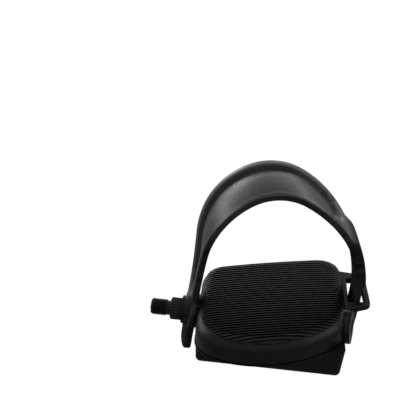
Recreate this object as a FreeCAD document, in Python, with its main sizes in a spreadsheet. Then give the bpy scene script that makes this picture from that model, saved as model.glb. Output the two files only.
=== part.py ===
import FreeCAD, Part
import math
import os
import re
import Sketcher

# Exercise bike pedal, left side. Millimetres, +Z up.
# Origin: spindle axis at the face that seats on the crank. +X runs outward along the spindle,
# +Y runs to the heel, so the toe end of the foot plate lies at -Y.

doc = FreeCAD.newDocument("exercise_bike_pedal")
sheet = doc.addObject("Spreadsheet::Sheet", "Sizes")

SIZES = [
    # spindle
    ("thread_dia", 12.7), ("thread_end", 15.2), ("thread_chamfer", 1.1), ("relief_len", 3.0),
    ("relief_dia", 11.0), ("collar_dia", 17.0), ("collar_len", 8.2), ("flute_count", 24),
    ("flute_radius", 0.9), ("flute_lift", 0.35), ("journal_dia", 14.0), ("shaft_dia", 11.8),
    ("shank_dia", 10.6), ("tail_dia", 8.0), ("tail_over", 1.55),
    # bearings
    ("ball_dia", 3.969), ("ball_ring", 7.2), ("ball_count", 10), ("race_slack", 0.06), ("race_gap", 0.6),
    ("cup_len", 6.0), ("cup_radius", 10.0), ("outer_cup_radius", 10.8), ("inner_race", 24.5),
    ("race_back", 16.6), ("cone_len", 7.5), ("washer_thick", 1.2), ("washer_radius", 6.6),
    ("nut_flat", 13.0), ("nut_high", 5.0), ("thread_slack", 0.03), ("seal_start", 10.4), ("seal_len", 3.4),
    ("seal_slack", 0.05), ("cap_thick", 2.0), ("cap_skirt", 3.0), ("cap_wall", 1.2),
    # hub barrel of the body
    ("lip_start", 8.7), ("lip_len", 1.1), ("lip_radius", 10.7), ("neck_radius", 9.9), ("boss_start", 19.4),
    ("boss_radius", 12.9), ("barrel_end", 138.6), ("neck_bore", 8.7),
    # foot plate, in its own turned frame
    ("tread_x", 79.0), ("tread_y", 3.0), ("toe_out", 12.0),
    ("front_left_x", 62.6), ("front_left_y", 35.2), ("back_left_x", 51.9), ("back_left_y", 48.8),
    ("back_right_x", 54.2), ("back_right_y", 58.2), ("front_right_y", 23.6), ("front_radius", 80.0),
    ("front_left_round", 26.0), ("front_right_round", 30.0), ("back_round", 19.0),
    ("wall_bottom", 5.0), ("dome_top", 17.4), ("dome_radius", 900.0), ("dome_half", 95.0),
    ("rim_round", 11.0), ("wall", 2.8), ("plate_thick", 3.4), ("lip_line", 1.0), ("lip_out", 0.7),
    ("rib_pitch", 2.8), ("rib_wide", 1.35), ("rib_high", 0.9), ("rib_count", 48), ("rib_margin", 3.2),
    ("rib_turn", 4.0), ("rib_corner", 14.0), ("web_thick", 2.2), ("web_pitch", 34.0),
    # strap loop of the body
    ("loop_top", 10.2), ("loop_thick", 5.2), ("loop_reach", 72.9), ("loop_far_reach", 70.4),
    ("window_near", 3.4), ("window_far", 33.2), ("window_inner", 56.2), ("bar_wide", 4.9), ("arm_wide", 7.4),
    ("loop_round", 5.0), ("peg_high", 2.0), ("peg_wide", 5.6), ("peg_long", 7.4),
    # weight housing
    ("block_start", 22.9), ("block_end", 138.4), ("block_half", 27.0), ("block_bottom", 28.7),
    ("block_draft", 4.4), ("block_wall", 2.6), ("block_floor", 2.8), ("block_edge", 4.0), ("barrel_gap", 0.4),
    ("post_radius", 4.3), ("post_hole", 2.2), ("screw_y", 20.0), ("screw_in", 33.0), ("screw_out", 118.0),
    ("screw_radius", 2.0), ("screw_head", 3.7), ("head_high", 2.4), ("screw_rise", 8.0), ("head_slack", 0.3),
    ("screw_slack", 0.05),
    # counterweight
    ("weight_gap", 1.0), ("weight_reach", 17.0), ("weight_chamfer", 3.0), ("weight_screw_in", 22.0),
    ("weight_screw_gap", 30.0), ("weight_screw_y", -3.0),
    # strap, in its own leaning frame with its origin on the hub
    ("strap_x", 14.5), ("strap_yaw", 16.0), ("strap_tilt", 8.8), ("strap_shift", 2.2), ("strap_lean", 9.6),
    ("leg_len", 57.8), ("arch_in", 61.8), ("arch_in_turn", 56.9), ("arch_top", 43.3), ("arch_top_turn", 57.9),
    ("arch_out", 92.6), ("outer_lean", 14.0), ("outer_leg", 24.5), ("inner_tail", 27.5),
    ("strap_inside", 3.3), ("strap_outside", 2.6), ("pad_rise", 2.8), ("pad_low", 17.0), ("pad_high", 58.0),
    ("panel_floor", -1.4), ("leg_half", 12.0), ("top_half", 30.8), ("flare_low", 17.6), ("flare_high", 98.9),
    ("strap_rim", 4.2), ("panel_tip", 113.0), ("panel_square", 88.0), ("panel_foot", 15.0),
    ("eye_radius", 16.4), ("strap_slack", 0.35), ("slot_high", 4.0), ("slot_wide", 8.5), ("slot_pitch", 13.0),
    ("slot_level", 7.6),
]

# Stations on the spindle that follow the end of the barrel.
DERIVED = {
    "outer_race": "(barrel_end - race_back)",
    "tail_end": "(barrel_end - race_back + cone_len / 2 + washer_thick + nut_high + tail_over)",
}

for row, (name, number) in enumerate(SIZES, start=1):
    sheet.set("A%d" % row, name)
    sheet.set("B%d" % row, str(number))
    sheet.setAlias("B%d" % row, name)
doc.recompute()

NAMES = {name for name, number in SIZES}


def point_at_sheet(hit):
    """A size name as the sheet knows it; any other word stays as it is."""
    word = hit.group(0)
    return "Sizes." + word if word in NAMES else word


def formula(text):
    """An expression with derived stations written out and every size name pointed at the sheet."""
    for name, meaning in DERIVED.items():
        text = re.sub(r"\b%s\b" % name, meaning, text)
    return re.sub(r"[a-z][a-z_]*", point_at_sheet, text)


def number(text):
    """Present value of an expression."""
    found = sheet.evalExpression(formula(text))
    return float(getattr(found, "Value", found))


def bind(thing, **sizes):
    """Bind properties of an object to expressions; a double underscore stands for a dot."""
    for name, text in sizes.items():
        thing.setExpression(name.replace("__", "."), formula(text))


def draw(sketch, corners):
    """Closed outline. A corner is (x, y), or (x, y, radius, turn) for an arc to the next corner.

    A turn of +1 runs anticlockwise.
    """
    points = [FreeCAD.Vector(number(corner[0]), number(corner[1]), 0) for corner in corners]
    ends = []
    datums = []
    for index, corner in enumerate(corners):
        start = points[index]
        stop = points[(index + 1) % len(points)]
        if len(corner) == 2:
            edge = sketch.addGeometry(Part.LineSegment(start, stop), False)
            ends.append((edge, 1, 2))
            continue
        radius = number(corner[2])
        chord = stop - start
        rise = math.sqrt(max(radius ** 2 - chord.Length ** 2 / 4, 0))
        side = FreeCAD.Vector(-chord.y, chord.x, 0).normalize() * rise * corner[3]
        centre = (start + stop) * 0.5 + side
        first, last = (start, stop) if corner[3] > 0 else (stop, start)
        begin = math.atan2(first.y - centre.y, first.x - centre.x)
        finish = math.atan2(last.y - centre.y, last.x - centre.x)
        circle = Part.Circle(centre, FreeCAD.Vector(0, 0, 1), radius)
        edge = sketch.addGeometry(Part.ArcOfCircle(circle, begin, finish), False)
        ends.append((edge, 1, 2) if corner[3] > 0 else (edge, 2, 1))
        datums.append(("radius%d" % index, Sketcher.Constraint("Radius", edge, radius), corner[2]))
    for index, (edge, start, stop) in enumerate(ends):
        after = ends[(index + 1) % len(ends)]
        sketch.addConstraint(Sketcher.Constraint("Coincident", edge, stop, after[0], after[1]))
        if corners[index][0] == "0":
            sketch.addConstraint(Sketcher.Constraint("PointOnObject", edge, start, -2))
        else:
            limit = Sketcher.Constraint("DistanceX", edge, start, points[index].x)
            datums.append(("across%d" % index, limit, corners[index][0]))
        if corners[index][1] == "0":
            sketch.addConstraint(Sketcher.Constraint("PointOnObject", edge, start, -1))
        else:
            limit = Sketcher.Constraint("DistanceY", edge, start, points[index].y)
            datums.append(("along%d" % index, limit, corners[index][1]))
    for name, limit, text in datums:
        place = sketch.addConstraint(limit)
        sketch.renameConstraint(place, name)
        sketch.setExpression("Constraints." + name, formula(text))


def body_sketch(body, plane, name, corners, offset=None):
    """Sketch on one of the body's own origin planes, moved along the plane's normal."""
    sketch = body.newObject("Sketcher::SketchObject", name)
    support = [item for item in body.Origin.OriginFeatures if item.Role == plane][0]
    sketch.AttachmentSupport = (support, "")
    sketch.MapMode = "FlatFace"
    if offset is not None:
        bind(sketch, AttachmentOffset__Base__z=offset)
    draw(sketch, corners)
    return sketch


def body_axis(body, role):
    return [item for item in body.Origin.OriginFeatures if item.Role == role][0]


def new_body(name):
    body = doc.addObject("PartDesign::Body", name)
    body.Label = name
    return body


def turned(name, corners):
    """Body turned about the spindle axis from a half outline of (x, radius) corners."""
    body = new_body(name)
    sketch = body_sketch(body, "XZ_Plane", name + "_outline", corners)
    turn = body.newObject("PartDesign::Revolution", name + "_turn")
    turn.Profile = sketch
    turn.ReferenceAxis = (sketch, ["H_Axis"])
    turn.Angle = 360
    doc.recompute()
    return body


def cylinder(name, start, length, radius, y="0", z="0", axis="x"):
    """Cylinder along X, or along Z when axis is z (start is then its bottom and y, z are its x, y)."""
    made = doc.addObject("Part::Cylinder", name)
    if axis == "x":
        made.Placement.Rotation = FreeCAD.Rotation(FreeCAD.Vector(0, 1, 0), 90)
        bind(made, Placement__Base__x=start, Placement__Base__y=y, Placement__Base__z=z)
    else:
        bind(made, Placement__Base__x=y, Placement__Base__y=z, Placement__Base__z=start)
    bind(made, Radius=radius, Height=length)
    return made


def box(name, x, y, z, length, width, height):
    made = doc.addObject("Part::Box", name)
    bind(made, Length=length, Width=width, Height=height)
    bind(made, Placement__Base__x=x, Placement__Base__y=y, Placement__Base__z=z)
    return made


def fuse(name, pieces):
    made = doc.addObject("Part::MultiFuse", name)
    made.Shapes = pieces
    made.Refine = True
    return made


def cut(name, base, tool, refine=True):
    made = doc.addObject("Part::Cut", name)
    made.Base = base
    made.Tool = tool
    made.Refine = refine
    return made


def common(name, pieces):
    made = doc.addObject("Part::MultiCommon", name)
    made.Shapes = pieces
    return made


def group(name, pieces):
    made = doc.addObject("Part::Compound", name)
    made.Links = pieces
    made.Label = name
    return made


def edges_where(shape, test):
    """Names of the edges whose middle point and direction pass a test."""
    found = []
    for index, edge in enumerate(shape.Edges, start=1):
        if edge.Degenerated:
            continue
        middle = edge.valueAt((edge.FirstParameter + edge.LastParameter) / 2)
        heading = edge.tangentAt((edge.FirstParameter + edge.LastParameter) / 2)
        if test(middle, heading):
            found.append("Edge%d" % index)
    return found


def round_edges(body, name, radius, test):
    doc.recompute()
    base = body.Tip
    made = body.newObject("PartDesign::Fillet", name)
    made.Base = (base, edges_where(base.Shape, test))
    bind(made, Radius=radius)
    doc.recompute()
    return made


def frame(thing, x, y, z, yaw, roll):
    """Place an object in a turned frame."""
    spot = "create(<<vector>>; %s; %s; %s)" % (formula(x), formula(y), formula(z))
    turn = "create(<<rotation>>; %s; 0; %s)" % (formula(yaw), formula(roll))
    thing.setExpression("Placement", "create(<<placement>>; %s; %s)" % (spot, turn))


# Spindle: crank thread at its largest diameter, relief, fluted collar, inner race and outer tail.
race = "(ball_dia / 2 + race_slack)"
inner_edge = "sqrt((ball_dia / 2 + race_slack)^2 - (ball_ring - shaft_dia / 2)^2)"
spindle = turned("spindle", [
    ("-thread_end", "0"),
    ("-thread_end", "thread_dia / 2 - thread_chamfer"),
    ("-thread_end + thread_chamfer", "thread_dia / 2"),
    ("-relief_len", "thread_dia / 2"),
    ("-relief_len + 0.6", "relief_dia / 2"),
    ("0", "relief_dia / 2"),
    ("0", "collar_dia / 2 - 0.6"),
    ("0.6", "collar_dia / 2"),
    ("collar_len - 0.6", "collar_dia / 2"),
    ("collar_len", "collar_dia / 2 - 0.6"),
    ("collar_len + 0.2", "journal_dia / 2"),
    ("seal_start + seal_len + 0.4", "journal_dia / 2"),
    ("seal_start + seal_len + 1.4", "shaft_dia / 2"),
    ("inner_race - " + inner_edge, "shaft_dia / 2", race, 1),
    ("inner_race + " + inner_edge, "shaft_dia / 2"),
    ("inner_race + cup_len", "shaft_dia / 2"),
    ("inner_race + cup_len + 6", "shank_dia / 2"),
    ("outer_race - cone_len / 2 - 1", "shank_dia / 2"),
    ("outer_race - cone_len / 2", "shank_dia / 2 - 0.6"),
    ("outer_race - cone_len / 2", "tail_dia / 2"),
    ("tail_end - 0.8", "tail_dia / 2"),
    ("tail_end", "tail_dia / 2 - 0.8"),
    ("tail_end", "0"),
])
flute_plane = body_axis(spindle, "YZ_Plane")
flute_sketch = spindle.newObject("Sketcher::SketchObject", "flute_outline")
flute_sketch.AttachmentSupport = (flute_plane, "")
flute_sketch.MapMode = "FlatFace"
flute_height = number("collar_dia / 2 + flute_lift")
ring = Part.Circle(FreeCAD.Vector(0, flute_height, 0), FreeCAD.Vector(0, 0, 1), number("flute_radius"))
flute_sketch.addGeometry(ring, False)
flute_sketch.addConstraint(Sketcher.Constraint("PointOnObject", 0, 3, -2))
flute_sketch.addConstraint(Sketcher.Constraint("DistanceY", 0, 3, flute_height))
flute_sketch.addConstraint(Sketcher.Constraint("Radius", 0, number("flute_radius")))
flute_sketch.setExpression("Constraints[1]", formula("collar_dia / 2 + flute_lift"))
flute_sketch.setExpression("Constraints[2]", formula("flute_radius"))
flute = spindle.newObject("PartDesign::Pocket", "flute")
flute.Profile = flute_sketch
flute.Reversed = True
bind(flute, Length="collar_len")
doc.recompute()
flutes = spindle.newObject("PartDesign::PolarPattern", "flutes")
flutes.Originals = [flute]
flutes.Axis = (body_axis(spindle, "X_Axis"), [""])
flutes.Angle = 360
bind(flutes, Occurrences="flute_count")
spindle.Tip = flutes
doc.recompute()

# Bearing cups, outer cone, washer, nut, seal and cap.
cup_edge = "sqrt((ball_dia / 2 + race_slack)^2 - race_gap^2)"


def cup(name, centre, radius):
    return turned(name, [
        (centre + " - cup_len / 2", "ball_ring + race_gap"),
        (centre + " - " + cup_edge, "ball_ring + race_gap", race, -1),
        (centre + " + " + cup_edge, "ball_ring + race_gap"),
        (centre + " + cup_len / 2", "ball_ring + race_gap"),
        (centre + " + cup_len / 2", radius),
        (centre + " - cup_len / 2", radius),
    ])


inner_cup = cup("inner_cup", "inner_race", "cup_radius")
outer_cup = cup("outer_cup", "outer_race", "outer_cup_radius")
outer_cone = turned("outer_cone", [
    ("outer_race - cone_len / 2", "tail_dia / 2 + thread_slack"),
    ("outer_race + cone_len / 2", "tail_dia / 2 + thread_slack"),
    ("outer_race + cone_len / 2", "shaft_dia / 2"),
    ("outer_race + " + inner_edge, "shaft_dia / 2", race, -1),
    ("outer_race - " + inner_edge, "shaft_dia / 2"),
    ("outer_race - cone_len / 2", "shaft_dia / 2"),
])
tab_washer = turned("tab_washer", [
    ("outer_race + cone_len / 2", "tail_dia / 2 + thread_slack"),
    ("outer_race + cone_len / 2 + washer_thick", "tail_dia / 2 + thread_slack"),
    ("outer_race + cone_len / 2 + washer_thick", "washer_radius"),
    ("outer_race + cone_len / 2", "washer_radius"),
])
inner_seal = turned("inner_seal", [
    ("seal_start", "journal_dia / 2 + seal_slack"),
    ("seal_start + seal_len", "journal_dia / 2 + seal_slack"),
    ("seal_start + seal_len", "neck_bore"),
    ("seal_start", "neck_bore"),
])
dust_cap = turned("dust_cap", [
    ("barrel_end - cap_thick", "0"),
    ("barrel_end", "0"),
    ("barrel_end", "outer_cup_radius"),
    ("barrel_end - cap_thick - cap_skirt", "outer_cup_radius"),
    ("barrel_end - cap_thick - cap_skirt", "outer_cup_radius - cap_wall"),
    ("barrel_end - cap_thick", "outer_cup_radius - cap_wall"),
])
nut_block = doc.addObject("Part::Prism", "nut_block")
nut_block.Polygon = 6
nut_block.Placement.Rotation = FreeCAD.Rotation(FreeCAD.Vector(0, 1, 0), 90)
bind(nut_block, Circumradius="nut_flat / 2 / cos(30)", Height="nut_high")
bind(nut_block, Placement__Base__x="outer_race + cone_len / 2 + washer_thick")
nut_hole = cylinder("nut_hole", "outer_race", "cone_len + nut_high + 4", "tail_dia / 2 + thread_slack")
lock_nut = cut("lock_nut", nut_block, nut_hole)


def balls(name, centre):
    made = []
    for index in range(int(number("ball_count"))):
        ball = doc.addObject("Part::Sphere", "%s_%d" % (name, index))
        turn = "%d * 360 / ball_count" % index
        bind(ball, Radius="ball_dia / 2", Placement__Base__x=centre)
        bind(ball, Placement__Base__y="ball_ring * cos(%s)" % turn)
        bind(ball, Placement__Base__z="ball_ring * sin(%s)" % turn)
        made.append(ball)
    return group(name, made)


inner_balls = balls("inner_balls", "inner_race")
outer_balls = balls("outer_balls", "outer_race")


# Foot plate. Its outline is drawn in a frame turned outward from the spindle, and slabs of that
# outline, drawn in by an inset and domed on top, make the shell, its hollow and the ribbed field.
def prism(name, inset, bottom, height, wider="0"):
    """Upright prism of the plate outline, drawn in by an inset, with wider rounds at the toe if asked."""
    body = new_body(name)
    corners = [
        ("-front_left_x + 1.054 * (%s)" % inset, "-front_left_y + 0.339 * (%s)" % inset,
         "front_radius - (%s)" % inset, 1),
        ("back_right_x - (%s)" % inset, "-front_right_y + 0.285 * (%s)" % inset),
        ("back_right_x - (%s)" % inset, "back_right_y - 1.086 * (%s)" % inset),
        ("-back_left_x + 0.885 * (%s)" % inset, "back_left_y - 0.931 * (%s)" % inset),
    ]
    sketch = body_sketch(body, "XY_Plane", name + "_outline", corners, bottom)
    pad = body.newObject("PartDesign::Pad", name + "_pad")
    pad.Profile = sketch
    bind(pad, Length=height)
    doc.recompute()
    rounds = ["front_left_round + " + wider, "front_right_round + " + wider, "back_round", "back_round"]
    for index, radius in enumerate(rounds):
        across = number(corners[index][0])
        along = number(corners[index][1])

        def near(middle, heading):
            return abs(heading.z) > 0.9 and math.hypot(middle.x - across, middle.y - along) < 0.1

        round_edges(body, "%s_round_%d" % (name, index), "%s - (%s)" % (radius, inset), near)
    return body


def slab(name, inset, bottom, lift, rounds):
    """Prism of the plate outline under a dome that is lifted from the plate's own dome."""
    body = prism(name, inset, bottom, "dome_top + 6 - (%s)" % bottom)
    spring = "sqrt(dome_radius^2 - dome_half^2)"
    above = body_sketch(body, "XZ_Plane", name + "_above", [
        ("-dome_half", spring, "dome_radius", -1),
        ("dome_half", spring),
        ("dome_half", "dome_radius + dome_half"),
        ("-dome_half", "dome_radius + dome_half"),
    ])
    bind(above, AttachmentOffset__Base__y="dome_top + (%s) - dome_radius" % lift)
    crown = body.newObject("PartDesign::Groove", name + "_crown")
    crown.Profile = above
    crown.ReferenceAxis = (above, ["H_Axis"])
    crown.Midplane = True
    crown.Angle = 24
    doc.recompute()
    if rounds:
        limit = number("dome_top - 12")

        def rim(middle, heading):
            return abs(heading.z) < 0.9 and middle.z > limit

        round_edges(body, name + "_rim", rounds, rim)
    return body


shell = slab("shell", "0", "-wall_bottom", "0", "rim_round")
hollow = slab("hollow", "wall", "-wall_bottom - 1", "-plate_thick", "rim_round - wall")
rib_skin = slab("rib_skin", "-rib_high", "-wall_bottom", "rib_high", "rim_round + rib_high")
rib_plan = prism("rib_plan", "rib_margin", "-wall_bottom / 2", "dome_top + wall_bottom", "rib_corner")

rib_body = new_body("rib_rows")
first_rib = "(-rib_pitch * (rib_count - 1) / 2)"
rib_sketch = body_sketch(rib_body, "YZ_Plane", "rib_outline", [
    (first_rib, "0"),
    (first_rib + " + rib_wide", "0"),
    (first_rib + " + rib_wide", "dome_top + 5"),
    (first_rib, "dome_top + 5"),
])
rib = rib_body.newObject("PartDesign::Pad", "rib")
rib.Profile = rib_sketch
rib.Midplane = True
bind(rib, Length="front_left_x * 2 + 10")
doc.recompute()
ribs = rib_body.newObject("PartDesign::LinearPattern", "ribs")
ribs.Originals = [rib]
ribs.Direction = (body_axis(rib_body, "Y_Axis"), [""])
bind(ribs, Occurrences="rib_count", Length="rib_pitch * (rib_count - 1)")
rib_body.Tip = ribs
doc.recompute()
frame(rib_body, "0", "0", "0", "rib_turn", "0")
rib_field = common("rib_field", [rib_body, rib_skin, rib_plan])

# Webs under the plate, kept inside the hollow.
webs = []
for index in range(3):
    webs.append(box("web_%d" % index, "(%d - 1) * web_pitch - web_thick / 2" % index, "-front_left_y - 26",
                    "-wall_bottom + 0.6", "web_thick", "front_left_y + 78", "dome_top + wall_bottom"))
webs.append(box("web_cross", "-front_left_x", "-front_left_y - 4", "-wall_bottom + 0.6", "front_left_x * 2",
                "web_thick", "dome_top + wall_bottom"))
web_set = fuse("web_set", webs)
inside = slab("inside", "wall / 2", "-wall_bottom", "-plate_thick / 2", "rim_round - wall / 2")
web_cut = common("web_cut", [web_set, inside])

foot_lip = prism("foot_lip", "-lip_out", "-wall_bottom", "lip_line")
ribbed = fuse("ribbed", [shell, foot_lip, rib_field])
plate_shell = cut("plate_shell", ribbed, hollow)

# Strap loop on the outer side: two arms, a slanted bar and the window for the strap.
loop = new_body("loop")
loop_sketch = body_sketch(loop, "XY_Plane", "loop_outline", [
    ("back_right_x - 3", "window_near - arm_wide - 4"),
    ("back_right_x + 6", "window_near - arm_wide"),
    ("loop_reach", "window_near - arm_wide + 4"),
    ("loop_far_reach", "window_far + arm_wide * 0.5"),
    ("back_right_x + 7", "window_far + arm_wide"),
    ("back_right_x - 3", "window_far + arm_wide + 3"),
], "loop_top - loop_thick")
loop_pad = loop.newObject("PartDesign::Pad", "loop_pad")
loop_pad.Profile = loop_sketch
bind(loop_pad, Length="loop_thick")
doc.recompute()
window_sketch = body_sketch(loop, "XY_Plane", "loop_window", [
    ("window_inner", "window_near"),
    ("loop_reach - bar_wide", "window_near"),
    ("loop_far_reach - bar_wide", "window_far"),
    ("window_inner", "window_far"),
], "loop_top + 1")
window = loop.newObject("PartDesign::Pocket", "window")
window.Profile = window_sketch
bind(window, Length="loop_thick + 4")
doc.recompute()
outer_corner = lambda middle, heading: abs(heading.z) > 0.9 and middle.x > number("loop_far_reach - 1.5")
round_edges(loop, "loop_corner", "loop_round", outer_corner)
flat_rim = lambda middle, heading: abs(heading.z) < 0.2 and middle.x > number("back_right_x + 1.2")
round_edges(loop, "loop_soft", "loop_thick * 0.2", flat_rim)
peg = box("peg", "(loop_reach + loop_far_reach) / 2 - bar_wide / 2 - peg_long",
          "(window_near + window_far) / 2 - peg_wide / 2", "slot_level - peg_high / 2",
          "peg_long", "peg_wide", "peg_high")

plate = fuse("plate", [plate_shell, web_cut, loop, peg])
frame(plate, "tread_x", "tread_y", "0", "toe_out", "0")

# Hub barrel with the neck for the strap, screw posts, and the stepped bore.
lip = cylinder("lip", "lip_start", "lip_len", "lip_radius")
neck = cylinder("neck", "lip_start", "boss_start - lip_start + 2", "neck_radius")
barrel = cylinder("barrel", "boss_start", "barrel_end - boss_start", "boss_radius")
post_list = []
pilot_list = []
SPOTS = [
    ("screw_in", "screw_y"), ("screw_in", "-screw_y"),
    ("screw_out", "screw_y"), ("screw_out", "-screw_y"),
]
for index, (across, along) in enumerate(SPOTS):
    post_list.append(cylinder("post_%d" % index, "-wall_bottom", "wall_bottom + dome_top - plate_thick * 0.75",
                              "post_radius", across, along, "z"))
    pilot_list.append(cylinder("pilot_%d" % index, "-wall_bottom - 1", "wall_bottom + 1 + screw_rise + 1",
                               "screw_radius + screw_slack", across, along, "z"))
solid_body = fuse("solid_body", [plate, lip, neck, barrel] + post_list)
bore_in = cylinder("bore_in", "lip_start - 1", "inner_race - lip_start + 1", "neck_bore")
bore_mid = cylinder("bore_mid", "inner_race - cup_len / 2", "outer_race - inner_race", "cup_radius")
bore_out = cylinder("bore_out", "outer_race - cup_len / 2", "barrel_end - outer_race + cup_len / 2 + 0.4",
                    "outer_cup_radius")
bores = fuse("bores", [bore_in, bore_mid, bore_out] + pilot_list)
pedal_body = cut("pedal_body", solid_body, bores)

# Weight housing below the plate: a trough with a leaning outer end, open towards the plate.
slant = "tan(toe_out) * block_half * 2"


def trough(name, inset, low, high):
    """Solid between a low and a high outline, with its lower and upright edges rounded."""
    made = []
    for label, level, draft in (("low", low, "block_draft"), ("high", high, "0")):
        sketch = doc.addObject("Sketcher::SketchObject", "%s_%s" % (name, label))
        bind(sketch, Placement__Base__z=level)
        draw(sketch, [
            ("block_start + (%s)" % inset, "-block_half + (%s)" % inset),
            ("block_end - (%s) - %s" % (inset, draft), "-block_half + (%s)" % inset),
            ("block_end - (%s) - %s - %s" % (inset, draft, slant), "block_half - (%s)" % inset),
            ("block_start + (%s)" % inset, "block_half - (%s)" % inset),
        ])
        made.append(sketch)
    loft = doc.addObject("Part::Loft", name + "_loft")
    loft.Sections = made
    loft.Solid = True
    loft.Ruled = True
    doc.recompute()
    body = new_body(name)
    body.BaseFeature = loft
    doc.recompute()
    high_edge = number(high) - 0.1
    round_edges(body, name + "_edges", "block_edge", lambda middle, heading: middle.z < high_edge)
    return body


block = trough("block", "0", "-block_bottom", "-wall_bottom")
room = trough("room", "block_wall", "-block_bottom + block_floor", "-wall_bottom + 0.01")
shell_block = cut("shell_block", block, room, False)
pillars = []
holes = []
for index, (across, along) in enumerate(SPOTS):
    pillars.append(cylinder("pillar_%d" % index, "-block_bottom + 0.5", "block_bottom - wall_bottom - 0.5",
                            "post_radius", across, along, "z"))
    holes.append(cylinder("hole_%d" % index, "-block_bottom - 1", "block_bottom", "post_hole",
                          across, along, "z"))
    holes.append(cylinder("sink_%d" % index, "-block_bottom - 1", "1 + head_high + head_slack",
                          "screw_head + head_slack", across, along, "z"))
weight_start = "(screw_in + post_radius + weight_gap)"
weight_top = "(block_bottom - block_floor - boss_radius - weight_gap)"
WEIGHT_SPOTS = [weight_start + " + weight_screw_in", weight_start + " + weight_screw_in + weight_screw_gap"]
for index, across in enumerate(WEIGHT_SPOTS):
    holes.append(cylinder("weight_hole_%d" % index, "-block_bottom - 1", "block_floor + 2", "post_hole",
                          across, "weight_screw_y", "z"))
    holes.append(cylinder("weight_sink_%d" % index, "-block_bottom - 1", "1 + head_high * 0.5 + head_slack",
                          "screw_head + head_slack", across, "weight_screw_y", "z"))
# The block reaches past the plate at its outer end, so its top is closed there.
cover_room = box("cover_room", "screw_out + post_radius + weight_gap", "-block_half", "-wall_bottom - block_wall",
                 "block_end - screw_out", "block_half * 2", "block_wall")
end_cover = common("end_cover", [block, cover_room])
filled_block = fuse("filled_block", [shell_block, end_cover] + pillars)
holes.append(cylinder("barrel_room", "boss_start", "block_end - boss_start + 20", "boss_radius + barrel_gap"))
weight_housing = cut("weight_housing", filled_block, fuse("housing_holes", holes))

# Counterweight on the housing floor, and the screws. Its higher toe side balances the strap, which
# leans to the heel.
weight = new_body("weight_bar")
weight_sketch = body_sketch(weight, "YZ_Plane", "weight_outline", [
    ("-(block_half - block_wall - weight_gap)", "-block_bottom + block_floor"),
    ("weight_reach", "-block_bottom + block_floor"),
    ("weight_reach", "-boss_radius - weight_gap"),
    ("-boss_radius - weight_gap", "-boss_radius - weight_gap"),
    ("-boss_radius - weight_gap", "-wall_bottom - weight_gap"),
    ("-(block_half - block_wall - weight_gap)", "-wall_bottom - weight_gap"),
], weight_start)
weight_pad = weight.newObject("PartDesign::Pad", "weight_pad")
weight_pad.Profile = weight_sketch
bind(weight_pad, Length="screw_out - screw_in - (post_radius + weight_gap) * 2")
doc.recompute()
notch = number("-boss_radius - weight_gap")
weight_edges = weight.newObject("PartDesign::Chamfer", "weight_edges")
weight_edges.Base = (weight_pad, edges_where(weight_pad.Shape, lambda middle, heading: abs(heading.x) > 0.9
                                             and abs(middle.y - notch) + abs(middle.z - notch) > 0.1))
bind(weight_edges, Size="weight_chamfer")
doc.recompute()
taps = []
for index, across in enumerate(WEIGHT_SPOTS):
    taps.append(cylinder("tap_%d" % index, "-block_bottom", "block_floor + %s * 0.8" % weight_top,
                         "screw_radius + screw_slack", across, "weight_screw_y", "z"))
counterweight = cut("counterweight", weight, fuse("taps", taps))


def screws(name, spots, seat, head, rise):
    made = []
    for index, (across, along) in enumerate(spots):
        top = cylinder("%s_head_%d" % (name, index), "%s - %s" % (seat, head), head, "screw_head",
                       across, along, "z")
        shank = cylinder("%s_shank_%d" % (name, index), "%s - 0.5" % seat, "%s - (%s) + 0.5" % (rise, seat),
                         "screw_radius", across, along, "z")
        made.append(fuse("%s_%d" % (name, index), [top, shank]))
    return group(name, made)


housing_screws = screws("housing_screws", SPOTS, "-block_bottom + head_high + head_slack", "head_high",
                        "screw_rise")
counterweight_screws = screws("counterweight_screws", [(across, "weight_screw_y") for across in WEIGHT_SPOTS],
                              "-block_bottom + head_high * 0.5 + head_slack", "head_high * 0.5",
                              "-block_bottom + block_floor + %s * 0.7" % weight_top)

# Strap. Centre path: inner leg, three arcs and outer leg, in a plane that leans back from the hub.
second = "(strap_lean + arch_in_turn)"
third = "(strap_lean + arch_in_turn + arch_top_turn)"
one_x = "(leg_len * sin(strap_lean) + arch_in * cos(strap_lean))"
one_y = "(leg_len * cos(strap_lean) - arch_in * sin(strap_lean))"
two_x = "(%s - (arch_in - arch_top) * cos(%s))" % (one_x, second)
two_y = "(%s + (arch_in - arch_top) * sin(%s))" % (one_y, second)
three_x = "(%s - (arch_top - arch_out) * cos(%s))" % (two_x, third)
three_y = "(%s + (arch_top - arch_out) * sin(%s))" % (two_y, third)


def path_points(offset):
    """Corners of the centre path moved outward by an offset."""
    start_x = "%s - (arch_in + %s) * cos(strap_lean)" % (one_x, offset)
    start_y = "%s + (arch_in + %s) * sin(strap_lean)" % (one_y, offset)
    stop_x = "%s + (arch_out + %s) * cos(outer_lean)" % (three_x, offset)
    stop_y = "%s - (arch_out + %s) * sin(outer_lean)" % (three_y, offset)
    return [
        (start_x + " - (leg_len + inner_tail) * sin(strap_lean)",
         start_y + " - (leg_len + inner_tail) * cos(strap_lean)"),
        (start_x, start_y),
        ("%s - (arch_in + %s) * cos(%s)" % (one_x, offset, second),
         "%s + (arch_in + %s) * sin(%s)" % (one_y, offset, second)),
        ("%s - (arch_top + %s) * cos(%s)" % (two_x, offset, third),
         "%s + (arch_top + %s) * sin(%s)" % (two_y, offset, third)),
        (stop_x, stop_y),
        (stop_x + " - outer_leg * sin(outer_lean)", stop_y + " - outer_leg * cos(outer_lean)"),
    ]


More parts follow.
